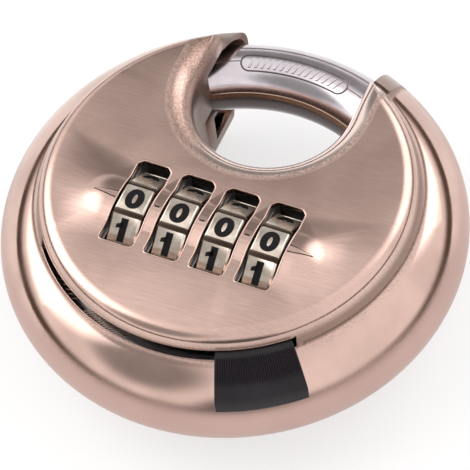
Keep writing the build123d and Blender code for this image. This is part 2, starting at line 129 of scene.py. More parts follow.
class Graph:
    """The node tree of one material or of the world."""

    def __init__(self, tree: bpy.types.NodeTree) -> None:
        """Starts from an empty tree."""
        self.tree = tree
        tree.nodes.clear()

    def node(
        self,
        kind: str,
        settings: dict[str, Any] | None = None,
        inputs: dict[str | int, Value] | None = None,
        output: str | int = 0,
    ) -> Wire:
        """Adds one node.

        Args:
            kind: The node's type.
            settings: Its own settings, set before its inputs.
            inputs: Values or wires for its input sockets, by name or number.
            output: The output socket to hand back.

        Returns:
            The wire from that output.
        """
        made = self.tree.nodes.new(kind)
        for name, value in (settings or {}).items():
            setattr(made, name, value)
        for name, value in (inputs or {}).items():
            socket = made.inputs[name]
            if isinstance(value, Wire):
                self.tree.links.new(value.socket, socket)
            else:
                socket.default_value = value
        return Wire(self, made.outputs[output]) if len(made.outputs) else Wire(self, None)

    def math(self, operation: str, first: Value, second: Value = 0.0) -> Wire:
        """A Math node with one or two values."""
        return self.node("ShaderNodeMath", {"operation": operation}, {0: first, 1: second})

    def place(self) -> Wire:
        """The point on the piece, in metres in the part's own frame."""
        return self.node("ShaderNodeTexCoord", output="Object")

    def parts(self, vector: Wire) -> tuple[Wire, Wire, Wire]:
        """Splits a vector.

        Args:
            vector: The vector to split.

        Returns:
            Its x, y and z.
        """
        split = self.node("ShaderNodeSeparateXYZ", inputs={0: vector}).socket.node
        return tuple(Wire(self, socket) for socket in split.outputs)

    def turned(self, vector: Wire, scale: Colour, turn: Colour = (0, 0, 0)) -> Wire:
        """Stretches and turns a pattern's coordinates.

        Args:
            vector: The coordinates.
            scale: How far each axis is stretched.
            turn: Turn about each axis, in radians.

        Returns:
            The new coordinates.
        """
        square = self.node("ShaderNodeMapping", inputs={"Vector": vector, "Rotation": turn})
        return self.node("ShaderNodeMapping", inputs={"Vector": square, "Scale": scale})

    def noise(self, vector: Wire, scale: float, detail: float = 3.0) -> Wire:
        """Soft noise between 0 and 1.

        Args:
            vector: The coordinates.
            scale: Features to each unit of them.
            detail: Octaves.

        Returns:
            The noise.
        """
        return self.node(
            "ShaderNodeTexNoise", inputs={"Vector": vector, "Scale": scale, "Detail": detail}
        )

    def blend(self, mask: Value, first: Value, second: Value) -> Wire:
        """A colour between two.

        Args:
            mask: 0 for the first colour, 1 for the second.
            first: A colour or wire.
            second: A colour or wire.

        Returns:
            The mixed colour.
        """
        shades = [c if isinstance(c, Wire) else (*c, 1.0) for c in (first, second)]
        return self.node(
            "ShaderNodeMix", {"data_type": "RGBA"}, {0: mask, 6: shades[0], 7: shades[1]}, 2
        )

    def bump(self, height: Wire, depth: float) -> Wire:
        """A normal from a height.

        Args:
            height: The relief, from 0 to 1.
            depth: What 1 stands for, in metres.

        Returns:
            The normal.
        """
        return self.node("ShaderNodeBump", inputs={"Height": height, "Distance": depth})

    def surface(self, **sockets: Value) -> None:
        """Ends a material in a Principled shader.

        Args:
            sockets: Its inputs, with _ for a space in their names.
        """
        inputs = {name.replace("_", " "): value for name, value in sockets.items()}
        shader = self.node("ShaderNodeBsdfPrincipled", inputs=inputs)
        self.node("ShaderNodeOutputMaterial", inputs={"Surface": shader})


# ---------------------------------------------------------------- finishes


@dataclass(frozen=True)
class Finish:
    """A finish that pieces are dressed in. Each kind fills in build()."""

    name: str

    def build(self, graph: Graph) -> None:
        """Adds the finish's nodes."""
        raise NotImplementedError

    def material(self) -> bpy.types.Material:
        """Makes the material, or finds it again.

        Returns:
            The Blender material of this finish.
        """
        found = bpy.data.materials.get(self.name)
        if found is None:
            found = bpy.data.materials.new(self.name)
            found.use_nodes = True
            self.build(Graph(found.node_tree))
        return found


@dataclass(frozen=True)
class PressedSteel(Finish):
    """Stainless sheet: brushed face, polished shoulders and dome, satin outer wall.

    Heights and radii are in millimetres, from the back and from the padlock's axis.
    """

    light: Colour = (0.68, 0.485, 0.42)
    dark: Colour = (0.40, 0.275, 0.235)
    wall: Colour = (0.53, 0.355, 0.315)
    # lip: painted highlight, the bright band along the notch's rolled edge
    lip: Colour = (0.88, 0.74, 0.68)
    # painted shade for the crease, the shadow line round the notch, down the notch and at the feet;
    # also the dark grain of the notch's left bank
    scorched: Colour = (0.20, 0.125, 0.095)
    face_height: float = 24.6
    wall_height: float = 17.0
    mid_height: float = 12.7
    wall_radii: tuple[float, float] = (30.0, 33.0)
    crease_radius: float = 28.3
    brush_turn: float = -2.0
    line_stretch: Colour = (160, 3600, 3600)
    hair_stretch: Colour = (420, 9500, 9500)
    notch_y: float = 16.6
    notch_reach: float = 15.3
    foot_radius: float = 28.1
    relief: float = 0.000011

    def build(self, graph: Graph) -> None:
        """Adds brushed lines, satin grain, a painted highlight on the notch edge with a rough
        painted shadow line round it, and painted shade in the crease, down the notch and at the
        feet.
        """
        place = graph.place()
        x, y, z = graph.parts(graph.turned(place, IN_MM))
        radius = (x * x + y * y) ** 0.5
        face = z.ramp(self.face_height - 0.5, self.face_height + 0.6)
        wall = self.wall_height - self.mid_height
        outer = (z - self.mid_height).size().ramp(wall + 0.8, wall - 1.2)
        outer = outer * radius.ramp(*self.wall_radii)
        turn = (0, 0, math.radians(self.brush_turn))
        lines = graph.noise(graph.turned(place, self.line_stretch, turn), 1.0, 4.0)
        hair = graph.noise(graph.turned(place, self.hair_stretch, turn), 1.0, 2.0)
        grain = graph.noise(place, 5200.0, 3.0)
        cloud = graph.noise(place, 95.0, 3.0).ramp(0.32, 0.68)
        crease = (radius - self.crease_radius).size().ramp(1.6, 0.0) * (1.0 - face)
        below = graph.math("MINIMUM", y - self.notch_y, 0.0)
        from_notch = (x * x + below * below) ** 0.5
        fillet = from_notch.ramp(self.notch_reach + 0.5, self.notch_reach - 0.4)
        sand = graph.noise(place, 3600.0, 3.0).ramp(0.36, 0.64)
        patchy = graph.noise(place, 70.0, 1.0).ramp(0.42, 0.56)
        flat = face * (1.0 - fillet)
        # seam: painted shadow line round the notch's edge
        seam = (from_notch - self.notch_reach).size().ramp(0.8, 0.1)
        bank = fillet * x.ramp(-2.0, -9.0)
        # the painted shadow line plus the rough, grainy left bank of the notch
        shadow_line_and_grain = seam * (1.0 - bank) + bank * (0.55 + 0.45 * patchy)
        depth = self.face_height - z
        # painted shade, deeper down into the notch
        notch_shade = fillet * depth.ramp(2.0, 5.0) + bank * depth.ramp(0.4, 2.6) * 0.7
        # foot: painted shade at the foot of the step wall
        foot = (radius - self.foot_radius).size().ramp(0.55, 0.10) * (1.0 - face)
        streaks = lines.ramp(0.34, 0.66) * 0.10 + hair.ramp(0.34, 0.66) * 0.16
        tint = graph.blend(cloud * 0.40 + face * streaks, self.light, self.dark)
        tint = graph.blend(outer * 0.8, tint, self.wall)
        # painted shade in the crease between the face's shoulder and the rim, broken up by grain
        tint = graph.blend(crease * grain.ramp(0.45, 0.7) * 0.5, tint, self.scorched)
        # painted highlight on the notch's rolled edge, except its left bank
        tint = graph.blend(fillet * (1.0 - bank) * 0.8, tint, self.lip)
        # painted shadow line round the notch, and dark grain on its left bank
        tint = graph.blend(shadow_line_and_grain * (0.30 + 0.45 * sand), tint, self.scorched)
        # painted shade down the notch and at the feet
        tint = graph.blend(notch_shade * 0.8 + foot * 0.75, tint, self.scorched)
        brushed = flat * (0.13 + 0.12 * lines + 0.05 * hair)
        bare = (1.0 - flat) * (0.085 + 0.05 * cloud + 0.24 * outer + 0.12 * crease)
        height = face * (lines * 0.3 + hair * 0.35)
        height = height + (1.0 - face) * grain * (0.12 + outer + crease)
        height = height + shadow_line_and_grain * sand * 1.1
        graph.surface(
            Base_Color=tint,
            Metallic=1.0,
            Roughness=brushed + bare + 0.26 * shadow_line_and_grain,
            Normal=graph.bump(height, self.relief),
        )


@dataclass(frozen=True)
class BarSteel(Finish):
    """Hard chromed steel, with faint handling marks."""

    light: Colour = (0.70, 0.655, 0.69)
    dark: Colour = (0.50, 0.46, 0.49)
    shaded: Colour = (0.10, 0.082, 0.076)
    gloss: float = 0.10
    inner_reach: float = 24.0

    def build(self, graph: Graph) -> None:
        """Adds cloudy tint, fine scratches and a rougher side towards the hole, darkened with
        painted shade.
        """
        place = graph.place()
        x, y, _ = graph.parts(graph.turned(place, IN_MM))
        # painted shade: the bar's side towards the hole is darkened
        inner = ((x * x + y * y) ** 0.5).ramp(self.inner_reach, self.inner_reach - 0.8)
        cloud = graph.noise(place, 160.0, 3.0).ramp(0.3, 0.7)
        scratch = graph.noise(graph.turned(place, (900, 900, 5200)), 1.0, 3.0)
        bright = graph.blend(cloud * 0.6, self.light, self.dark)
        graph.surface(
            Base_Color=graph.blend(inner * 0.95, bright, self.shaded),
            Metallic=1.0,
            Roughness=self.gloss + 0.10 * cloud * scratch + 0.08 * scratch + 0.15 * inner,
            Normal=graph.bump(scratch, 0.000004),
        )


@dataclass(frozen=True)
class CastMetal(Finish):
    """A cast or turned metal with its own grain."""

    light: Colour = (0.42, 0.42, 0.43)
    dark: Colour = (0.25, 0.25, 0.26)
    rough: float = 0.42
    grain_scale: float = 2600.0
    depth: float = 0.00003

    def build(self, graph: Graph) -> None:
        """Adds grain, darker hollows and uneven gloss."""
        place = graph.place()
        grain = graph.noise(place, self.grain_scale, 4.0)
        cloud = graph.noise(place, self.grain_scale / 12, 2.0).ramp(0.3, 0.7)
        graph.surface(
            Base_Color=graph.blend(grain * 0.5 + cloud * 0.5, self.light, self.dark),
            Metallic=1.0,
            Roughness=self.rough + 0.18 * (grain - 0.5) + 0.08 * cloud,
            Normal=graph.bump(grain, self.depth),
        )


@dataclass(frozen=True)
class WheelMetal(Finish):
    """Nickel-bright number wheels, with turning lines on their pads and painted shade in their
    hollows.
    """

    axis_y: float
    axis_z: float
    pad_reach: float
    light: Colour = (0.84, 0.77, 0.68)
    warm: Colour = (0.52, 0.41, 0.33)
    # painted shade for the hollows between the pads
    hollow: Colour = (0.032, 0.019, 0.013)

    def build(self, graph: Graph) -> None:
        """Adds turning lines, and paints shade on everything below the pads' own height."""
        place = graph.place()
        _, y, z = graph.parts(place)
        angle = graph.math("ARCTAN2", y - self.axis_y, z - self.axis_z) * (WHEEL_SIDES / math.tau)
        away = ((y - self.axis_y) ** 2.0 + (z - self.axis_z) ** 2.0) ** 0.5
        turn = (angle - graph.math("ROUND", angle)) * (math.tau / WHEEL_SIDES)
        reach = away * graph.math("COSINE", turn) * 1000
        # painted shade: everything below the pads' own height is darkened
        low = reach.ramp(self.pad_reach / MM - 0.12, self.pad_reach / MM - 0.42)
        lines = graph.noise(graph.turned(place, (7000, 500, 500)), 1.0, 3.0)
        cloud = graph.noise(place, 700.0, 3.0).ramp(0.3, 0.7)
        pad = graph.blend(cloud * 0.5 + lines * 0.4, self.light, self.warm)
        graph.surface(
            Base_Color=graph.blend(low, pad, self.hollow),
            Metallic=0.84,
            Roughness=0.18 + 0.12 * lines + 0.20 * low,
            Normal=graph.bump(lines, 0.000009),
        )


@dataclass(frozen=True)
class MouldedPlastic(Finish):
    """Black moulded plastic with a faint grain."""

    light: Colour = (0.026, 0.021, 0.026)
    dark: Colour = (0.011, 0.009, 0.011)
    rough: float = 0.46
    shine: float = 0.2

    def build(self, graph: Graph) -> None:
        """Adds spark-eroded grain and slightly rubbed, glossier patches."""
        place = graph.place()
        grain = graph.noise(place, 4200.0, 3.0)
        rubbed = graph.noise(place, 260.0, 2.0).ramp(0.35, 0.75)
        graph.surface(
            Base_Color=graph.blend(grain * 0.7 + rubbed * 0.3, self.dark, self.light),
            Specular_IOR_Level=self.shine,
            Roughness=self.rough - 0.12 * rubbed + 0.14 * (grain - 0.5),
            Normal=graph.bump(grain, 0.00002),
        )


@dataclass(frozen=True)
class FloorPaint(Finish):
    """The pale studio floor."""

    def build(self, graph: Graph) -> None:
        """Adds a nearly even white with some glow of its own."""
        soft = graph.noise(graph.place(), 6.0, 1.0)
        graph.surface(
            Base_Color=graph.blend(soft, (0.31, 0.31, 0.31), (0.29, 0.29, 0.29)),
            Roughness=0.9,
            Emission_Color=(1.0, 1.0, 1.0, 1.0),
            Emission_Strength=0.66,
        )


# ---------------------------------------------------------------- measures and meshes


@dataclass(frozen=True)
class Layout:
    """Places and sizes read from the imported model, in metres."""

    mid: float
    row_y: float
    axis_z: float
    apothem: float
    wheel_x: tuple[float, ...]
    bar: float
    ring: float

    @classmethod
    def read(cls) -> "Layout":
        """Reads the layout.

        Returns:
            The layout of the loaded model.
        """
        boxes = [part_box(f"dial_{n}") for n in range(1, 5)]
        low, high = boxes[0]
        bar_low, bar_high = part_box("shackle")
        bar = bar_high.z - bar_low.z
        return cls(
            mid=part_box("back_shell")[1].z,
            row_y=(low.y + high.y) / 2,
            axis_z=(low.z + high.z) / 2,
            apothem=(high.z - low.z) / 2,
            wheel_x=tuple((a.x + b.x) / 2 for a, b in boxes),
            bar=bar,
            ring=bar_high.x - bar / 2,
        )

    def on_bar(self, along: float, across: float, lift: float) -> Vector:
        """A point over the shackle's surface.

        Args:
            along: Angle round the ring, in degrees.
            across: Angle round the bar, in degrees, 0 outwards and 90 up.
            lift: Height over the surface.

        Returns:
            The point.
        """
        spoke = math.radians(along)
        tilt = math.radians(across)
        radius = self.bar / 2 + lift
        reach = self.ring + radius * math.cos(tilt)
        return Vector(
            (reach * math.cos(spoke), reach * math.sin(spoke), self.mid + radius * math.sin(tilt))
        )


class Crease(Enum):
    """Which edges of a mesh stay sharp."""

    SOFT = math.radians(60)
    TURNED = SMOOTH_ANGLE
    FACETED = math.radians(12)


def publish(
    bm: bmesh.types.BMesh,
    name: str,
    finish: Finish,
    body: str,
    crease: Crease = Crease.TURNED,
) -> bpy.types.Object:
    """Turns a bmesh into a finished piece.

    Args:
        bm: The shape, which is freed.
        name: The piece's name.
        finish: What it is dressed in.
        body: The CAD body it moves with.
        crease: Which edges stay sharp.

    Returns:
        The piece.
    """
    for face in bm.faces:
        face.smooth = True
    mesh = bpy.data.meshes.new(name)
    bm.to_mesh(mesh)
    bm.free()
    mesh.set_sharp_from_angle(angle=crease.value)
    mesh.materials.clear()
    mesh.materials.append(finish.material())
    piece = bpy.data.objects.new(name, mesh)
    bpy.context.scene.collection.objects.link(piece)
    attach(piece, body)
    log.info("%s: %d faces, on %s", name, len(mesh.polygons), body)
    return piece


def merged(node: str) -> bmesh.types.BMesh:
    """A CAD node's mesh with its loose triangles joined.

    Args:
        node: The node's name.

    Returns:
        The joined mesh.
    """
    bm = bmesh.new()
    bm.from_mesh(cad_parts[node].data)
    bmesh.ops.remove_doubles(bm, verts=bm.verts, dist=WELD)
    return bm


def rounded(piece: bpy.types.Object, width: float, segments: int = 2) -> bpy.types.Object:
    """Rounds a piece's sharp edges.

    Args:
        piece: The piece.
        width: Width of the rounding.
        segments: Its facets.

    Returns:
        The same piece.
    """
    bevel = piece.modifiers.new("rounded_edges", "BEVEL")
    bevel.width = width
    bevel.segments = segments
    bevel.limit_method = "ANGLE"
    bevel.angle_limit = math.radians(40)
    bevel.harden_normals = True
    return piece


def walked(corners: list[tuple[float, float]], pitch: float) -> list[tuple[float, float]]:
    """Points at even steps along a closed outline.

    Args:
        corners: The outline's corners.
        pitch: The step, which each side stretches to fit.

    Returns:
        The points, from the first corner on.
    """
    points = []
    for start, end in zip(corners, corners[1:] + corners[:1]):
        steps = max(1, round(math.dist(start, end) / pitch))
        for i in range(steps):
            points.append(tuple(a + (b - a) * i / steps for a, b in zip(start, end)))
    return points


def swept(bm: bmesh.types.BMesh, outline: Sequence[Vector], angle: float, steps: int) -> None:
    """Sweeps a closed outline about the padlock's axis.

    Args:
        bm: The mesh to add to.
        outline: The outline's corners.
        angle: Turn of the sweep, in degrees.
        steps: Its steps.
    """
    verts = [bm.verts.new(point) for point in outline]
    face = bm.faces.new(verts)
    bmesh.ops.spin(
        bm,
        geom=[face, *face.edges, *verts],
        cent=(0, 0, 0),
        axis=(0, 0, 1),
        angle=math.radians(angle),
        steps=steps,
    )


def tube(bm: bmesh.types.BMesh, points: Sequence[Vector], radius: float, closed: bool) -> None:
    """Adds a round bead along a line of points.

    Args:
        bm: The mesh to add to.
        points: The bead's centre line.
        radius: The bead's radius.
        closed: Whether it comes back to its start.
    """
    count = len(points)
    rings = []
    for i, point in enumerate(points):
        before = points[i - 1] if closed or i else point
        after = points[(i + 1) % count] if closed or i < count - 1 else point
        direction = (after - before).normalized()
        turn = direction.to_track_quat("Z", "Y").to_matrix().to_4x4()
        made = bmesh.ops.create_circle(
            bm, segments=BEAD_SIDES, radius=radius, matrix=Matrix.Translation(point) @ turn
        )
        rings.append(made["verts"])
    pairs = list(zip(rings, rings[1:]))
    if closed:
        pairs.append((rings[-1], rings[0]))
    for first, second in pairs:
        start = min(second, key=lambda v: (v.co - first[0].co).length)
        shift = second.index(start)
        following = second[shift:] + second[:shift]
        for i in range(len(first)):
            j = (i + 1) % len(first)
            bm.faces.new((first[i], first[j], following[j], following[i]))
    if not closed:
        bm.faces.new(reversed(rings[0]))
        bm.faces.new(rings[-1])
    bmesh.ops.recalc_face_normals(bm, faces=bm.faces)


def bar_mesh(
    bm: bmesh.types.BMesh, size: Colour, cuts: int, shape: Callable[[Vector], Vector]
) -> None:
    """Adds a small chamfered bar that is bent to a surface.

    Args:
        bm: The mesh to add to.
        size: Length, width and height.
        cuts: Cuts along the length, so that it can bend.
        shape: Gives the place of a point of the straight bar.
    """
    made = bmesh.ops.create_cube(bm, size=1.0, matrix=Matrix.Diagonal((*size, 1.0)))
    verts = set(made["verts"])
    edges = [e for e in bm.edges if e.verts[0] in verts and e.verts[1] in verts]
    upper = [e for e in edges if all(v.co.z > 0 for v in e.verts)]
    bevel = bmesh.ops.bevel(
        bm, geom=upper, offset=min(size) * 0.3, segments=1, profile=0.5, affect="EDGES", material=-1
    )
    verts = {v for v in verts | set(bevel["verts"]) if v.is_valid}
    for i in range(1, cuts + 1):
        faces = {f for v in verts for f in v.link_faces}
        lines = {e for f in faces for e in f.edges}
        spot = size[0] * (i / (cuts + 1) - 0.5)
        cut = bmesh.ops.bisect_plane(
            bm, geom=[*verts, *lines, *faces], plane_co=(spot, 0, 0), plane_no=(1, 0, 0)
        )
        verts |= {g for g in cut["geom"] if isinstance(g, bmesh.types.BMVert)}
        verts |= {g for g in cut["geom_cut"] if isinstance(g, bmesh.types.BMVert)}
    for vert in verts:
        vert.co = shape(vert.co)


# ---------------------------------------------------------------- sub-assemblies


@dataclass
class PressedBody:
    """The two pressed shells, the lips round their openings and the index marks."""

    layout: Layout
    steel: Finish
    line: Finish
    dome_length: float = 37.5 * MM
    dome_width: float = 8.0 * MM
    dome_rise: float = 0.9 * MM
    window_length: float = 14.86 * MM
    window_width: float = 5.49 * MM
    corner_top: float = 0.8 * MM
    corner_bottom: float = 0.4 * MM
    lip_radius: float = 0.15 * MM
    lip_sink: float = 0.06 * MM
    lip_pitch: float = 0.6 * MM
    slot_start: float = -141.3
    slot_end: float = -46.2
    slot_high: tuple[float, float] = (27.82 * MM, 10.4 * MM)
    slot_low: tuple[float, float] = (28.36 * MM, 8.42 * MM)
    slot_lip_radius: float = 0.12 * MM
    slot_steps: int = 96
    mark_length: float = 3.5 * MM
    mark_width: float = 0.95 * MM
    mark_gap: float = 0.15 * MM
    mark_taper: float = 0.94
    mark_curve: float = 1.4
    outline_spread: float = 0.17 * MM
    land_mark_length: float = 0.8 * MM
    land_mark_width: float = 0.24 * MM
    mark_rise: float = 0.10 * MM
    hole_radius: float = 2.05 * MM
    hole_steps: int = 48

    def skin_height(self, x: float, y: float) -> float:
        """Height of the front's outer skin.

        Args:
            x: Place across the face.
            y: Place up the face.

        Returns:
            The height, on the domed field or beside it.
        """
        face = 2 * self.layout.mid
        radius = (self.dome_width**2 / 4 + self.dome_rise**2) / (2 * self.dome_rise)
        end = (self.dome_length - self.dome_width) / 2
        away = math.hypot(max(abs(x) - end, 0.0), y - self.layout.row_y)
        if away > self.dome_width / 2:
            return face
        return face + self.dome_rise - radius + math.sqrt(radius**2 - away**2)

    def shells(self) -> None:
        """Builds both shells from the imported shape, with smooth shading."""
        for node in ("front_shell", "back_shell"):
            piece = publish(merged(node), f"pressed_{node}", self.steel, "case")
            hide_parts(node)

    def window_corners(self) -> list[tuple[float, float]]:
        """The corners of one window, centred on it."""
        side = self.window_width / 2
        end = self.window_length / 2
        high = self.corner_top
        low = self.corner_bottom
        return [
            (side, -end + low),
            (side, end - high),
            (side - high, end),
            (-side + high, end),
            (-side, end - high),
            (-side, -end + low),
            (-side + low, -end),
            (side - low, -end),
        ]

    def window_lips(self) -> None:
        """Builds the turned edge round each window, over the domed field."""
        bm = bmesh.new()
        corners = self.window_corners()
        for x in self.layout.wheel_x:
            path = []
            for across, up in walked(corners, self.lip_pitch):
                spot = (across + x, up + self.layout.row_y)
                path.append(Vector((*spot, self.skin_height(*spot) - self.lip_sink)))
            tube(bm, path, self.lip_radius, closed=True)
        publish(bm, "window_lips", self.steel, "case", Crease.SOFT)

    def slot_lips(self) -> None:
        """Builds the raw sheared edges of the slider's slot."""
        arc = self.slot_end - self.slot_start
        spokes = [
            math.radians(self.slot_start + arc * i / self.slot_steps)
            for i in range(self.slot_steps + 1)
        ]
        path = []
        for (radius, rise), order in ((self.slot_high, spokes), (self.slot_low, spokes[::-1])):
            for spoke in order:
                height = self.layout.mid + rise
                path.append(Vector((radius * math.cos(spoke), radius * math.sin(spoke), height)))
        bm = bmesh.new()
        tube(bm, path, self.slot_lip_radius, closed=True)
        publish(bm, "slot_lips", self.steel, "case", Crease.SOFT)

    def wedge(self, bm: bmesh.types.BMesh, side: int, spread: float, rise: float) -> None:
        """Adds one pointed index mark at an end of the row.

        Args:
            bm: The mesh to add to.
            side: -1 at the left end, 1 at the right end.
            spread: Extra width all round.
            rise: Height over the skin.
        """
        edge = self.layout.wheel_x[-1] + self.window_width / 2 + self.mark_gap
        length = self.mark_length + 2.5 * spread
        width = self.mark_width + 2 * spread

        def bend(point: Vector) -> Vector:
            """Tapers the bar to a point and lays it on the skin."""
            share = min(max(point.x / length + 0.5, 0.0), 1.0)
            x = side * (edge - spread + share * length)
            taper = 1.0 - self.mark_taper * share**self.mark_curve
            y = self.layout.row_y + side * point.y * taper
            return Vector((x, y, self.skin_height(x, y) + point.z))

        bar_mesh(bm, (length, width, 2 * rise), 9, bend)

    def index_marks(self) -> None:
        """Builds the pointed marks, their dark outlines and the small marks on the lands."""
        outline = bmesh.new()
        wedges = bmesh.new()
        for side in (-1, 1):
            self.wedge(outline, side, self.outline_spread, self.mark_rise * 0.3)
            self.wedge(wedges, side, 0.0, self.mark_rise)
        for left, right in zip(self.layout.wheel_x, self.layout.wheel_x[1:]):
            middle = (left + right) / 2

            def lay(point: Vector, middle: float = middle) -> Vector:
                """Lays a small mark on the skin between two windows."""
                x = middle + point.x
                y = self.layout.row_y + point.y
                return Vector((x, y, self.skin_height(x, y) + point.z))

            size = (self.land_mark_length, self.land_mark_width, self.mark_rise * 0.5)
            bar_mesh(outline, size, 1, lay)
        publish(outline, "index_outlines", self.line, "case", Crease.FACETED)
        publish(wedges, "index_marks", self.steel, "case", Crease.FACETED)

    def button_lip(self) -> None:
        """Builds the rolled lip round the change button's hole in the back."""
        bm = bmesh.new()
        ring = []
        for i in range(self.hole_steps):
            turn = math.tau * i / self.hole_steps
            x = self.hole_radius * math.cos(turn)
            y = self.layout.row_y + self.hole_radius * math.sin(turn)
            ring.append(Vector((x, y, self.lip_radius)))
        tube(bm, ring, self.lip_radius, closed=True)
        publish(bm, "button_lip", self.steel, "case", Crease.SOFT)

    def build(self) -> None:
        """Builds every piece of the body."""
        self.shells()
        self.window_lips()
        self.slot_lips()
        self.index_marks()
        self.button_lip()


@dataclass(frozen=True)
class Tally:
    """A row of tally marks: where it lies on the bar, in degrees, and its marks' width."""

    start: float
    end: float
    count: int
    tilt: float
    width: float


@dataclass
class RingShackle:
    """The shackle's bar, its forging seam and ridge, its panel and its tally marks."""

    layout: Layout
    steel: Finish
    dark: Finish
    bronze: Finish
    seam_tilt: float = 98.0
    seam_spans: tuple[tuple[float, float], ...] = ((53.0, 73.6), (110.8, 128.0))
    seam_radius: float = 0.09 * MM
    seam_sink: float = 0.035 * MM
    seam_steps: int = 40
    ridge_span: tuple[float, float] = (52.0, 127.0)
    ridge_tilt: float = 160.0
    ridge_half: float = 5.2
    ridge_rise: float = 0.16 * MM
    ridge_sink: float = 0.1 * MM
    ridge_top: float = 0.8
    ridge_steps: int = 90
    panel_middle: float = 92.2
    panel_tilt: float = 101.0
    panel_length: float = 18.0 * MM
    panel_width: float = 2.7 * MM
    panel_line: float = 0.13 * MM
    panel_lift: float = 0.02 * MM
    panel_steps: int = 120
    panel_pitch: float = 0.5 * MM
    stroke_count: int = 15
    stroke_size: Colour = (1.75 * MM, 0.42 * MM, 0.26 * MM)
    stroke_lean: float = 0.42
    stroke_room: float = 0.4 * MM
    tally_rows: tuple[Tally, ...] = (
        Tally(-139.0, -125.0, 8, 99.0, 0.42 * MM),
        Tally(-117.0, -103.0, 14, 113.0, 0.16 * MM),
    )
    tally_length: float = 1.7 * MM
    tally_height: float = 0.22 * MM
    tally_lean: float = 0.7

    def on_panel(self, along: float, across: float, lift: float) -> Vector:
        """A point over the panel.

        Args:
            along: Distance round the ring from the panel's middle.
            across: Distance over the bar, towards the hole.
            lift: Height over the bar.

        Returns:
            The point.
        """
        return self.layout.on_bar(
            self.panel_middle - math.degrees(along / self.layout.ring),
            self.panel_tilt + math.degrees(across / (self.layout.bar / 2)),
            lift,
        )

    def bar(self) -> None:
        """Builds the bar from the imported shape."""
        bm = merged("shackle")
        piece = publish(bm, "shackle_bar", self.steel, "shackle_ring")
        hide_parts("shackle")

    def seam(self) -> None:
        """Builds the fine forging seam along the bar's top, on both sides of the panel."""
        bm = bmesh.new()
        for start, end in self.seam_spans:
            path = []
            for i in range(self.seam_steps + 1):
                along = start + (end - start) * i / self.seam_steps
                path.append(self.layout.on_bar(along, self.seam_tilt, -self.seam_sink))
            tube(bm, path, self.seam_radius, closed=False)
        publish(bm, "forging_seam", self.dark, "shackle_ring", Crease.SOFT)

    def ridge(self) -> None:
        """Builds the trimmed ridge on the side of the bar that faces the hole."""
        start, end = self.ridge_span
        bm = bmesh.new()
        profile = [
            (-self.ridge_half, -self.ridge_sink),
            (-self.ridge_half * self.ridge_top, self.ridge_rise),
            (self.ridge_half * self.ridge_top, self.ridge_rise),
            (self.ridge_half, -self.ridge_sink),
        ]
        outline = [
            self.layout.on_bar(start, self.ridge_tilt + tilt, lift) for tilt, lift in profile
        ]
        swept(bm, outline, end - start, self.ridge_steps)
        bmesh.ops.recalc_face_normals(bm, faces=bm.faces)
        publish(bm, "forging_ridge", self.bronze, "shackle_ring")

    def panel(self) -> None:
        """Builds the pill-shaped panel: a fine raised line round plain slanting strokes."""
        straight = self.panel_length - self.panel_width
        outline = []
        for i in range(self.panel_steps):
            turn = math.tau * i / self.panel_steps
            along = math.cos(turn) * self.panel_width / 2
            across = math.sin(turn) * self.panel_width / 2
            outline.append((along + math.copysign(straight / 2, along), across))
        path = [
            self.on_panel(along, across, self.panel_lift)
            for along, across in walked(outline, self.panel_pitch)
        ]
        bm = bmesh.new()
        tube(bm, path, self.panel_line, closed=True)
        publish(bm, "panel_line", self.dark, "shackle_ring", Crease.SOFT)
        bm = bmesh.new()
        pitch = (straight + self.stroke_room) / self.stroke_count
        for i in range(self.stroke_count):
            middle = (i - (self.stroke_count - 1) / 2) * pitch

            def lay(point: Vector, middle: float = middle) -> Vector:
                """Leans a stroke and lays it on the bar."""
                along = middle + point.y + point.x * self.stroke_lean
                return self.on_panel(along, -point.x, point.z)

            bar_mesh(bm, self.stroke_size, 2, lay)
        publish(bm, "panel_strokes", self.steel, "shackle_ring", Crease.FACETED)

    def tallies(self) -> None:
        """Builds the slanting tally marks that show through the slider's slot."""
        bm = bmesh.new()
        for row in self.tally_rows:
            for i in range(row.count):
                middle = row.start + (row.end - row.start) * i / (row.count - 1)

                def lay(point: Vector, middle: float = middle, row: Tally = row) -> Vector:
                    """Leans a mark and lays it on the bar."""
                    shift = (point.y + point.x * self.tally_lean) / self.layout.ring
                    across = row.tilt + math.degrees(point.x / (self.layout.bar / 2))
                    return self.layout.on_bar(middle + math.degrees(shift), across, point.z)

                bar_mesh(bm, (self.tally_length, row.width, self.tally_height), 2, lay)
        publish(bm, "tally_marks", self.bronze, "shackle_ring", Crease.FACETED)

    def build(self) -> None:
        """Builds every piece of the shackle."""
        self.bar()
        self.seam()
        self.ridge()
        self.panel()
        self.tallies()


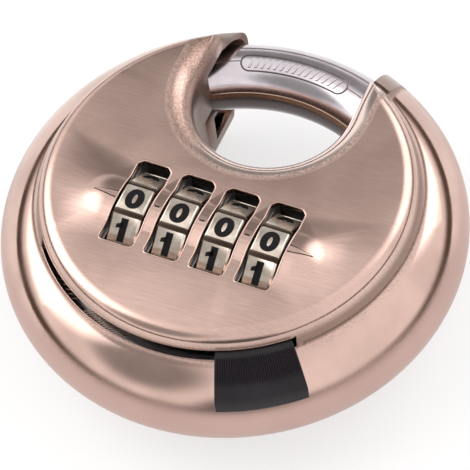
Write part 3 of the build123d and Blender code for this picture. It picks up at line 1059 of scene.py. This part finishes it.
@dataclass
class RibbedSlider:
    """The moulded slider, with fine ribs that run down over the rim."""

    layout: Layout
    plastic: Finish
    start: float = -70.0
    end: float = -47.5
    curve_centre: tuple[float, float] = (22.81 * MM, -3.75 * MM)
    inner_radius: float = 13.67 * MM
    outer_radius: float = 15.17 * MM
    outer_limit: float = 34.1 * MM
    inner_limit: float = 26.9 * MM
    tab_low: float = 8.7 * MM
    tab_high: float = 10.1 * MM
    nose_round: float = 0.7 * MM
    rib_count: int = 36
    rib_depth: float = 0.17 * MM
    rib_reach: tuple[float, float] = (28.3 * MM, 33.2 * MM)
    rib_fade: tuple[float, float] = (0.5 * MM, 1.2 * MM)
    plain_edge: float = 0.6

    def arc(
        self, radius: float, first: float, last: float, steps: int
    ) -> list[tuple[float, float]]:
        """Points on one of the slider's two curves.

        Args:
            radius: The curve's radius.
            first: Reach of the first point from the padlock's axis.
            last: Reach of the last point.
            steps: Points less one.

        Returns:
            Reach and height of each point.
        """
        x0, z0 = self.curve_centre
        reaches = [first + (last - first) * i / steps for i in range(steps + 1)]
        return [(r, z0 + math.sqrt(radius**2 - (r - x0) ** 2)) for r in reaches]

    def profile(self) -> list[tuple[float, float]]:
        """The slider's outline on a plane through the padlock's axis.

        Returns:
            Reach and height of each point, round the outline.
        """
        x0, z0 = self.curve_centre
        meet_low = x0 + math.sqrt(self.inner_radius**2 - (self.tab_low - z0) ** 2)
        meet_high = x0 + math.sqrt(self.outer_radius**2 - (self.tab_high - z0) ** 2)
        under = self.arc(self.inner_radius, self.outer_limit, meet_low, 8)
        over = self.arc(self.outer_radius, meet_high, self.outer_limit - self.nose_round, 14)
        nose = over[-1][1]
        tab = [
            (self.inner_limit, self.tab_low),
            (self.inner_limit, self.tab_high - 0.2 * MM),
            (self.inner_limit + 0.2 * MM, self.tab_high),
            (self.inner_limit + 0.9 * MM, self.tab_high),
        ]
        front = [
            (self.outer_limit - self.nose_round * 0.35, nose - self.nose_round * 0.45),
            (self.outer_limit, nose - self.nose_round * 1.3),
        ]
        return under + tab + over + front

    def build(self) -> None:
        """Spins the outline and presses the grooves between the ribs into its top."""
        spoke = math.radians(self.start)
        bm = bmesh.new()
        outline = [
            Vector((r * math.cos(spoke), r * math.sin(spoke), self.layout.mid + h))
            for r, h in self.profile()
        ]
        arc = self.end - self.start
        swept(bm, outline, arc, 4 * self.rib_count)
        x0, z0 = self.curve_centre
        low, high = self.rib_reach
        middle = (self.inner_radius + self.outer_radius) / 2
        for vert in bm.verts:
            reach = math.hypot(vert.co.x, vert.co.y)
            height = vert.co.z - self.layout.mid
            turn = (math.degrees(math.atan2(vert.co.y, vert.co.x)) - self.start) / arc
            upper = math.hypot(reach - x0, height - z0) > middle
            edge = min(turn, 1 - turn) * self.rib_count
            if not (upper and low < reach < high and edge > self.plain_edge):
                continue
            groove = 0.5 - 0.5 * math.cos(math.tau * turn * self.rib_count)
            foot, top = self.rib_fade
            fade = min(1.0, (high - reach) / top, (reach - low) / foot)
            depth = self.rib_depth * groove * fade
            inward = Vector((x0 - reach, z0 - height)).normalized() * depth
            vert.co.x *= (reach + inward.x) / reach
            vert.co.y *= (reach + inward.x) / reach
            vert.co.z += inward.y
        bmesh.ops.recalc_face_normals(bm, faces=bm.faces)
        piece = publish(bm, "ribbed_slider", self.plastic, "shackle_ring")
        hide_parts("shackle_knob")


@dataclass
class NumberWheel:
    """One wheel with ten numbered pads."""

    layout: Layout
    metal: Finish
    enamel: Finish
    number: int
    digit_height: float = 3.5 * MM
    digit_widen: float = 1.16
    digit_rise: float = 0.012 * MM
    digit_depth: float = 0.05 * MM
    boldness: float = 0.06
    flag: tuple[Colour, ...] = ((-0.33, 0.02, 0), (-0.33, 0.19, 0), (0.0, 0.36, 0), (0.0, 0.10, 0))
    edge_round: float = 0.09 * MM

    def wheel(self) -> None:
        """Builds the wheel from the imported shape, with softened edges."""
        node = f"dial_{self.number}"
        name = f"wheel_{self.number}"
        body = f"dial_wheel_{self.number}"
        piece = publish(merged(node), name, self.metal, body)
        rounded(piece, self.edge_round)
        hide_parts(node)

    def glyph(self, digit: int) -> bpy.types.Mesh:
        """Makes one digit flat on the floor plane.

        Args:
            digit: The digit.

        Returns:
            Its mesh, one unit high or so.
        """
        text = bpy.data.curves.new("digit", "FONT")
        text.body = str(digit)
        text.extrude = 0.5
        text.offset = self.boldness
        text.resolution_u = 6
        writer = bpy.data.objects.new("digit", text)
        bpy.context.scene.collection.objects.link(writer)
        bpy.context.view_layer.update()
        seen = writer.evaluated_get(bpy.context.evaluated_depsgraph_get())
        mesh = bpy.data.meshes.new_from_object(seen)
        bpy.data.objects.remove(writer)
        bpy.data.curves.remove(text)
        return mesh

    def stroke_flag(self, bm: bmesh.types.BMesh, place: Matrix) -> None:
        """Adds the slanting flag of the digit 1, which the plain lettering lacks.

        Args:
            bm: The digits' mesh.
            place: Where the middle of the pad is.
        """
        depth = Vector((0, 0, self.digit_depth))
        corners = [Vector(c) * self.digit_height - depth / 2 for c in self.flag]
        face = bm.faces.new([bm.verts.new(place @ c) for c in corners])
        raised = bmesh.ops.extrude_face_region(bm, geom=[face])["geom"]
        top = [g for g in raised if isinstance(g, bmesh.types.BMVert)]
        bmesh.ops.translate(bm, verts=top, vec=place.to_3x3() @ depth)

    def digits(self) -> None:
        """Builds the ten digits, each sunk in its own pad."""
        bm = bmesh.new()
        for digit in range(WHEEL_SIDES):
            mesh = self.glyph(digit)
            corners = [v.co for v in mesh.vertices]
            low = Vector(min(c[i] for c in corners) for i in range(3))
            high = Vector(max(c[i] for c in corners) for i in range(3))
            scale = self.digit_height / (high.y - low.y)
            centred = Matrix.Translation(-(low + high) / 2)
            sized = Matrix.Diagonal((scale * self.digit_widen, scale, self.digit_depth, 1.0))
            rise = self.layout.apothem + self.digit_rise - self.digit_depth / 2
            lifted = Matrix.Translation((0, 0, rise))
            turned = Matrix.Rotation(math.tau * digit / WHEEL_SIDES, 4, "X")
            axle = Matrix.Translation(
                (self.layout.wheel_x[self.number - 1], self.layout.row_y, self.layout.axis_z)
            )
            place = axle @ turned @ lifted
            mesh.transform(place @ sized @ centred)
            bm.from_mesh(mesh)
            bpy.data.meshes.remove(mesh)
            if digit == 1:
                self.stroke_flag(bm, place)
        bmesh.ops.remove_doubles(bm, verts=bm.verts, dist=WELD)
        bmesh.ops.recalc_face_normals(bm, faces=bm.faces)
        name, body = f"digits_{self.number}", f"dial_wheel_{self.number}"
        publish(bm, name, self.enamel, body, Crease.FACETED)

    def build(self) -> None:
        """Builds the wheel and its digits."""
        self.wheel()
        self.digits()


@dataclass
class Workings:
    """The inner parts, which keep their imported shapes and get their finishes."""

    finishes: dict[str, Finish]

    def build(self) -> None:
        """Dresses each inner node in its finish."""
        for node, finish in self.finishes.items():
            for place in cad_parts[node].material_slots:
                place.material = finish.material()
            log.info("%s: %s", node, finish.name)


@dataclass
class CoilSpring:
    """One coil spring, built from its imported shape."""

    wire: Finish
    node: str
    joint: str
    axis: int
    seat_end: int
    travel: float

    def build(self) -> None:
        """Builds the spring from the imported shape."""
        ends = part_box(self.node)
        seat = (ends[0] + ends[1]) / 2
        seat[self.axis] = ends[self.seat_end][self.axis]
        piece = publish(merged(self.node), f"coil_{self.node}", self.wire, "case")
        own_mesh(piece)
        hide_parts(self.node)


@dataclass
class ChangeButton:
    """The brass button in the back."""

    brass: Finish
    edge_round: float = 0.25 * MM

    def build(self) -> None:
        """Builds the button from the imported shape, with a rounded head."""
        bm = merged("reset_button")
        piece = publish(bm, "change_button", self.brass, "button")
        rounded(piece, self.edge_round, 3)
        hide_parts("reset_button")


# ---------------------------------------------------------------- studio


@dataclass(frozen=True)
class Patch:
    """A soft round patch of the room: a softbox, or a dark area where its strength is negative.

    Its direction is as Studio.towards takes it. Its half angles, in degrees, are where it ends
    and where it is full.
    """

    direction: Colour
    wide: float
    narrow: float
    strength: float


@dataclass
class Studio:
    """Floor, soft light and camera."""

    layout: Layout
    azimuth: float = 30.974
    elevation: float = 55.567
    roll: float = -8.80
    distance: float = 0.405217
    shift_right: float = 0.000147
    shift_up: float = -0.001126
    lens: float = 208.34
    sensor: float = 36.0
    left_box: Patch = Patch((-0.66, 0.32, 0.68), 31, 17, 1.7)
    right_box: Patch = Patch((0.62, 0.48, 0.62), 27, 15, 1.2)
    person: Patch = Patch((-0.12, -0.97, 0.10), 26, 13, -0.95)
    doorway: Patch = Patch((-0.60, -0.42, 0.68), 27, 12, -0.75)
    curtain: Patch = Patch((0.16, 0.79, 0.60), 27, 11, -0.85)
    room_strength: float = 1.15
    room_tint: Colour = (1.0, 0.98, 0.97)
    low_tint: Colour = (0.10, 0.066, 0.048)

    def axes(self, roll: float = 0.0) -> tuple[Vector, Vector, Vector]:
        """The camera's axes.

        Args:
            roll: Turn about the line of sight, in degrees.

        Returns:
            Right, up and backwards.
        """
        turn = math.radians(self.azimuth)
        lift = math.radians(self.elevation)
        lean = math.radians(roll)
        back = Vector(
            (math.sin(turn) * math.cos(lift), -math.cos(turn) * math.cos(lift), math.sin(lift))
        )
        right = Vector((math.cos(turn), math.sin(turn), 0))
        up = back.cross(right)
        return (
            math.cos(lean) * right + math.sin(lean) * up,
            math.cos(lean) * up - math.sin(lean) * right,
            back,
        )

    def camera(self) -> None:
        """Places the camera."""
        right, up, back = self.axes(self.roll)
        place = back * self.distance + right * self.shift_right + up * self.shift_up
        place += Vector((0, 0, self.layout.mid))
        lens = bpy.data.cameras.new("camera")
        lens.sensor_width = self.sensor
        lens.lens = self.lens
        lens.clip_start = 0.01
        camera = bpy.data.objects.new("camera", lens)
        camera.matrix_world = Matrix(
            [(right[i], up[i], back[i], place[i]) for i in range(3)] + [(0, 0, 0, 1)]
        )
        bpy.context.scene.collection.objects.link(camera)
        bpy.context.scene.camera = camera
        bpy.context.scene.view_settings.view_transform = "Standard"

    def floor(self) -> None:
        """Lays a wide pale floor."""
        bm = bmesh.new()
        bmesh.ops.create_grid(bm, x_segments=1, y_segments=1, size=3)
        mesh = bpy.data.meshes.new("floor")
        bm.to_mesh(mesh)
        bm.free()
        mesh.materials.append(FloorPaint("floor_paint").material())
        floor = bpy.data.objects.new("floor", mesh)
        bpy.context.scene.collection.objects.link(floor)

    def towards(self, right: float, forward: float, up: float) -> Vector:
        """A direction given as the camera sees it.

        Args:
            right: Share to the right.
            forward: Share away from the camera, level with the floor.
            up: Share upwards.

        Returns:
            The unit vector.
        """
        across, _, back = self.axes()
        ahead = Vector((-back.x, -back.y, 0)).normalized()
        return (across * right + ahead * forward + Vector((0, 0, up))).normalized()

    def surroundings(self) -> None:
        """Builds the room: two softboxes, three dark areas and a dark band low down."""
        world = bpy.data.worlds.new("room")
        bpy.context.scene.world = world
        world.use_nodes = True
        graph = Graph(world.node_tree)
        look = graph.node("ShaderNodeTexCoord", output="Generated")
        height = graph.parts(look)[2]

        strength = self.room_strength
        for patch in (self.left_box, self.right_box, self.person, self.doorway, self.curtain):
            near = graph.node(
                "ShaderNodeVectorMath",
                {"operation": "DOT_PRODUCT"},
                {0: look, 1: tuple(self.towards(*patch.direction))},
                "Value",
            )
            ends, full = (math.cos(math.radians(half)) for half in (patch.wide, patch.narrow))
            strength = strength + patch.strength * near.ramp(ends, full)
        shade = graph.blend(height.ramp(0.22, 0.09), self.room_tint, self.low_tint)
        seen = graph.node("ShaderNodeLightPath", output="Is Camera Ray")
        lit = graph.node("ShaderNodeBackground", inputs={"Color": shade, "Strength": strength})
        white = {"Color": (1, 1, 1, 1), "Strength": 1.0}
        plain = graph.node("ShaderNodeBackground", inputs=white)
        mixed = graph.node("ShaderNodeMixShader", inputs={0: seen, 1: lit, 2: plain})
        graph.node("ShaderNodeOutputWorld", inputs={"Surface": mixed})

    def lamp(self, name: str, direction: Vector, away: float, size: float, power: float) -> None:
        """Hangs one square soft lamp, aimed at the padlock.

        Args:
            name: The lamp's name.
            direction: Where it hangs, from the padlock.
            away: Its distance.
            size: Its side.
            power: Its power in watts.
        """
        light = bpy.data.lights.new(name, "AREA")
        light.size = size
        light.energy = power
        lamp = bpy.data.objects.new(name, light)
        lamp.matrix_world = Matrix.Translation(direction * away) @ direction.to_track_quat(
            "Z", "Y"
        ).to_matrix().to_4x4()
        bpy.context.scene.collection.objects.link(lamp)

    def build(self) -> None:
        """Builds the studio."""
        self.floor()
        self.surroundings()
        self.lamp("key_lamp", self.towards(-0.72, 0.42, 0.62), away=1.1, size=0.85, power=1.5)
        self.lamp("fill_lamp", self.towards(0.66, 0.50, 0.60), away=1.1, size=0.80, power=1.1)
        self.camera()


# ---------------------------------------------------------------- the padlock


def main() -> None:
    """Builds the padlock's looks and the studio round it."""
    logging.basicConfig(level=logging.INFO, format="%(name)s %(message)s")
    layout = Layout.read()
    steel = PressedSteel("pressed_steel")
    chrome = BarSteel("bar_steel")
    zinc = CastMetal("cast_zinc")
    brass = CastMetal(
        "turned_brass", (0.78, 0.58, 0.27), (0.58, 0.40, 0.17), 0.24, 1500.0, 0.000012
    )
    spring = CastMetal(
        "spring_wire", (0.55, 0.55, 0.57), (0.36, 0.36, 0.38), 0.22, 3800.0, 0.000006
    )
    screw = CastMetal(
        "screw_steel", (0.62, 0.61, 0.60), (0.42, 0.41, 0.40), 0.26, 3000.0, 0.000008
    )
    plate = CastMetal(
        "plated_steel", (0.50, 0.50, 0.52), (0.34, 0.34, 0.36), 0.30, 2200.0, 0.000012
    )
    dark = CastMetal(
        "dark_seam", (0.24, 0.20, 0.20), (0.10, 0.08, 0.08), 0.30, 3000.0, 0.000006
    )
    bronze = CastMetal(
        "trimmed_ridge", (0.86, 0.68, 0.54), (0.62, 0.44, 0.32), 0.20, 2400.0, 0.00001
    )
    plastic = MouldedPlastic("moulded_plastic")
    enamel = MouldedPlastic(
        "digit_enamel", (0.012, 0.010, 0.011), (0.004, 0.004, 0.004), 0.5, 0.12
    )
    wheel = WheelMetal("wheel_metal", layout.row_y, layout.axis_z, layout.apothem)
    PressedBody(layout, steel, enamel).build()
    RingShackle(layout, chrome, dark, bronze).build()
    RibbedSlider(layout, plastic).build()
    for number in range(1, 5):
        NumberWheel(layout, wheel, enamel, number).build()
    ChangeButton(brass).build()
    CoilSpring(spring, "latch_spring", "latch_slide", 0, 0, 2.5 * MM).build()
    CoilSpring(spring, "reset_spring", "reset_press", 2, 1, 1.5 * MM).build()
    Workings(
        {
            "lock_frame": zinc,
            "frame_cover": zinc,
            "cover_screws": screw,
            "knob_screws": screw,
            "knob_carrier": plate,
            "latch_bolt": plate,
            "spindle": plate,
            "spindle_clip": spring,
            "dial_spacers": plate,
            "detent_spring": spring,
            "detent_rivets": brass,
            **{f"hub_{number}": brass for number in range(1, 5)},
        }
    ).build()
    Studio(layout).build()


if __name__ == "__main__":
    main()
